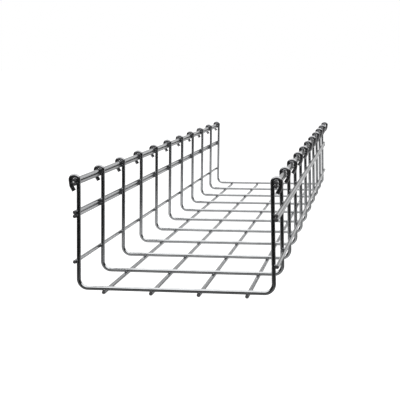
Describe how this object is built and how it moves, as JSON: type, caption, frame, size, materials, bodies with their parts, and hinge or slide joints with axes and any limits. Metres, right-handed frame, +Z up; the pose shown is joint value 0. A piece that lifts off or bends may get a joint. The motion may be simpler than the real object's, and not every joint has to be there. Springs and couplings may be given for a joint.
{
  "type": "cable tray",
  "caption": "Straight open wire-mesh cable tray: U-shaped cross wires with hooked ends, welded to straight lengthwise rods under the floor and outside both walls.",
  "frame": {"origin": "on the surface that the floor rods rest on, under the middle of the tray", "axes": "+X across the tray, +Y along it, +Z up out of its open top"},
  "size_m": [0.2222, 1.006, 0.1256],
  "materials": {
    "zinc_cross_wire": "bright electro-zinc plating on drawn steel wire, semi-gloss",
    "zinc_rod": "bright electro-zinc plating on straightened steel rod, satin to semi-gloss"
  },
  "bodies": {
    "root": {"cross_wire_01": "zinc_cross_wire", "cross_wire_02": "zinc_cross_wire", "cross_wire_03": "zinc_cross_wire", "cross_wire_04": "zinc_cross_wire", "cross_wire_05": "zinc_cross_wire", "cross_wire_06": "zinc_cross_wire", "cross_wire_07": "zinc_cross_wire", "cross_wire_08": "zinc_cross_wire", "cross_wire_09": "zinc_cross_wire", "cross_wire_10": "zinc_cross_wire", "cross_wire_11": "zinc_cross_wire", "floor_rod_1": "zinc_rod", "floor_rod_2": "zinc_rod", "floor_rod_3": "zinc_rod", "floor_rod_4": "zinc_rod", "low_side_rod_left": "zinc_rod", "mid_side_rod_upper_left": "zinc_rod", "mid_side_rod_lower_left": "zinc_rod", "top_rod_upper_left": "zinc_rod", "top_rod_lower_left": "zinc_rod", "low_side_rod_right": "zinc_rod", "mid_side_rod_upper_right": "zinc_rod", "mid_side_rod_lower_right": "zinc_rod", "top_rod_upper_right": "zinc_rod", "top_rod_lower_right": "zinc_rod"}
  },
  "joints": []
}
